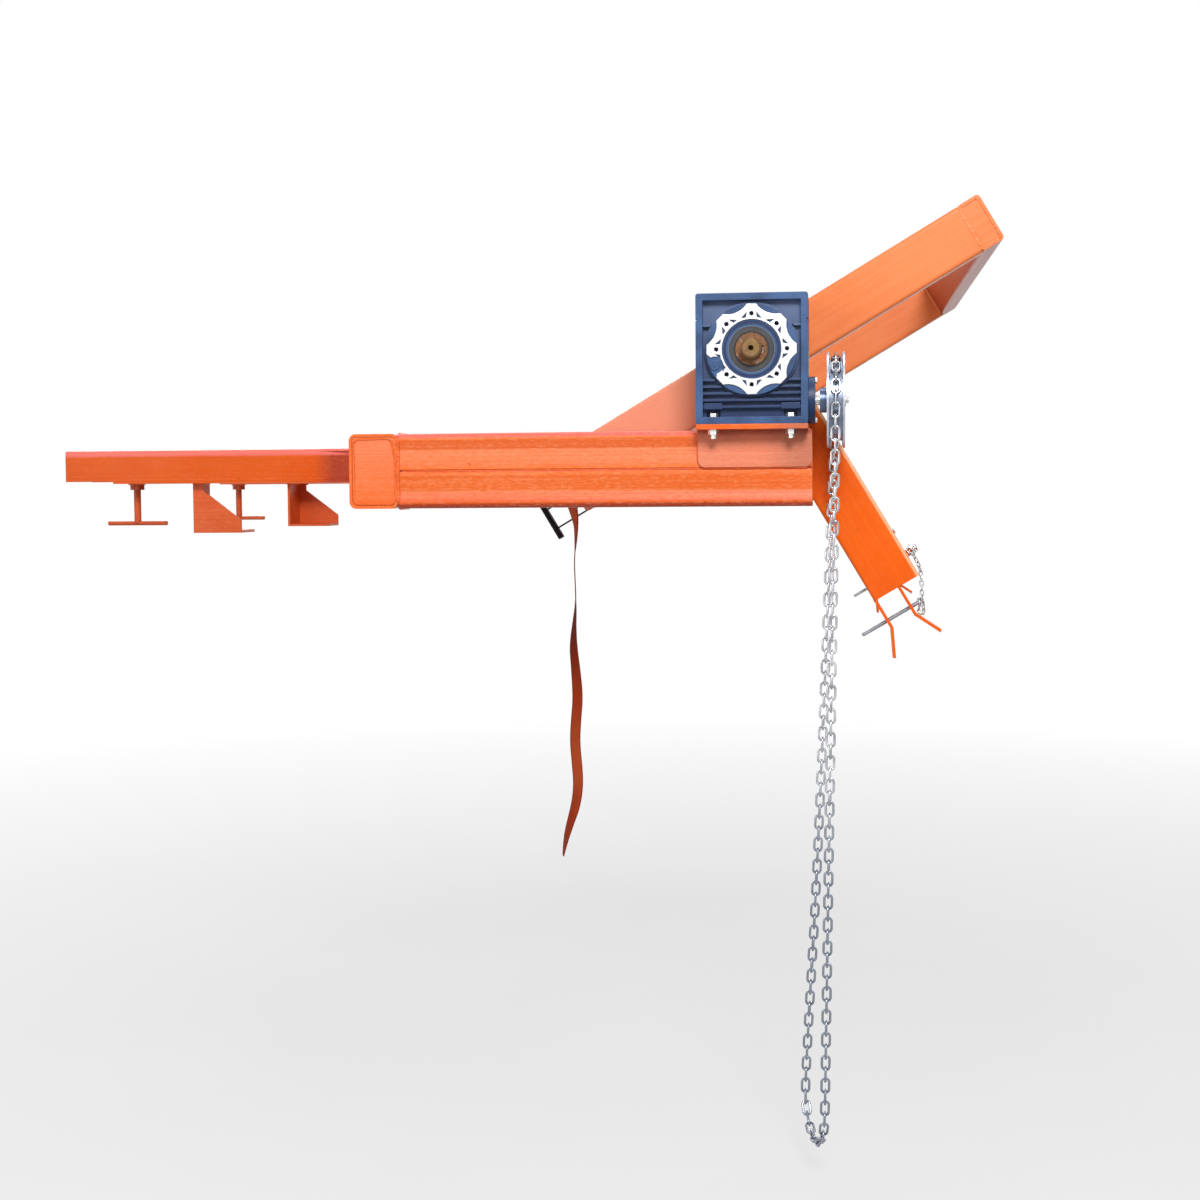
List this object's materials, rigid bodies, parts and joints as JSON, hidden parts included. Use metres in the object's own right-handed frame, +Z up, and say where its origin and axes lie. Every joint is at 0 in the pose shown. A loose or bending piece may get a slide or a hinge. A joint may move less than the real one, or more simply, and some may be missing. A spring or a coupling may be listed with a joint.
{
  "type": "wheelie bin tipper",
  "caption": "Lift-truck bin tipper: fork sleeves and side arms carry a swinging cradle that a hand chain tips through a worm gearbox.",
  "frame": {"origin": "midway between the mouths of the two fork sleeves, on the underside of their top plates", "axes": "+X away from the truck along the sleeves, +Y from the gearbox side to the far side, +Z up"},
  "size_m": [2.077, 1.739, 1.8926],
  "materials": {
    "orange_paint": "gloss, worn",
    "blue_paint": "satin",
    "steel": "machined",
    "bronze": "machined",
    "zinc": "zinc plated",
    "wheel_iron": "galvanised",
    "seal_rubber": "matt",
    "black_grip": "satin black",
    "webbing": "woven"
  },
  "bodies": {
    "frame": {"near_fork_sleeve": "orange_paint", "far_fork_sleeve": "orange_paint", "sleeve_floors": "orange_paint", "clamp_nuts": "orange_paint", "near_park_foot": "orange_paint", "far_park_foot": "orange_paint", "cross_beam": "orange_paint", "cross_beam_caps": "orange_paint", "near_arm_channels": "orange_paint", "far_arm_channels": "orange_paint", "arm_end_caps": "orange_paint", "gearbox_saddle": "orange_paint", "gearbox_housing": "blue_paint", "near_output_cover": "blue_paint", "far_output_cover": "blue_paint", "oil_seals": "seal_rubber", "oil_plugs": "blue_paint", "output_bearings": "steel", "worm_bearings": "steel", "worm_end_cap": "blue_paint", "input_flange": "blue_paint", "input_flange_bolts": "zinc", "gearbox_foot_bolts": "zinc", "far_bearing_stand": "orange_paint", "far_bearing_housing": "blue_paint", "far_bearing_insert": "steel", "far_bearing_bolts": "zinc", "hand_chain": "zinc"},
    "cradle": {"near_side_beam": "orange_paint", "far_side_beam": "orange_paint", "back_beam": "orange_paint", "cradle_caps": "orange_paint", "near_lift_arm": "orange_paint", "far_lift_arm": "orange_paint", "lift_arm_plates": "orange_paint", "near_trunnion_fork": "orange_paint", "far_trunnion_fork": "orange_paint", "tether_lugs": "orange_paint", "near_pin_tether": "zinc", "far_pin_tether": "zinc", "drive_shaft": "steel", "shaft_key": "steel", "shaft_hubs": "orange_paint", "hollow_shaft": "steel", "worm_wheel_ring": "bronze", "idle_shaft": "steel", "strap_lugs": "orange_paint", "ratchet_frame": "zinc", "ratchet_bolt": "zinc", "ratchet_spindle": "zinc", "strap_band": "webbing"},
    "worm": {"worm_shaft": "steel", "chain_wheel": "wheel_iron", "chain_wheel_bolt": "zinc"},
    "near_pin": {"near_trunnion_pin": "zinc"},
    "far_pin": {"far_trunnion_pin": "zinc"},
    "near_screw": {"near_clamp_screw": "orange_paint"},
    "far_screw": {"far_clamp_screw": "orange_paint"},
    "tail": {"strap_tail": "webbing"},
    "handle": {"ratchet_handle": "black_grip"}
  },
  "joints": [
    {"name": "tip", "type": "hinge", "parent": "frame", "child": "cradle", "pos_m": [1.584, 0, 0.177], "axis": [0, 1, 0], "range_deg": [-149, 15]},
    {"name": "worm_turn", "type": "hinge", "parent": "frame", "child": "worm", "pos_m": [1.584, -0.807, 0.081], "axis": [1, 0, 0], "range_deg": [-9000, 960]},
    {"name": "near_pin_slide", "type": "slide", "parent": "cradle", "child": "near_pin", "axis": [0.8595, 0, 0.5111], "range_m": [0, 0.125], "deforming": ["near_pin_tether"]},
    {"name": "far_pin_slide", "type": "slide", "parent": "cradle", "child": "far_pin", "axis": [0.8595, 0, 0.5111], "range_m": [0, 0.125], "deforming": ["far_pin_tether"]},
    {"name": "near_screw_slide", "type": "slide", "parent": "frame", "child": "near_screw", "axis": [0, 0, 1], "range_m": [-0.018, 0.04]},
    {"name": "far_screw_slide", "type": "slide", "parent": "frame", "child": "far_screw", "axis": [0, 0, 1], "range_m": [-0.018, 0.04]},
    {"name": "tail_swing", "type": "hinge", "parent": "cradle", "child": "tail", "pos_m": [1.19499, -0.625, -0.12183], "axis": [0, 1, 0], "range_deg": [-15, 149]},
    {"name": "ratchet_swing", "type": "hinge", "parent": "cradle", "child": "handle", "pos_m": [1.22601, -0.557, -0.10338], "axis": [0.5111, 0, -0.8595], "range_deg": [-20, 75]}
  ],
  "couplings": [
    {"joint": "worm_turn", "follows": "tip", "ratio": 60},
    {"joint": "tail_swing", "follows": "tip", "ratio": -1}
  ]
}
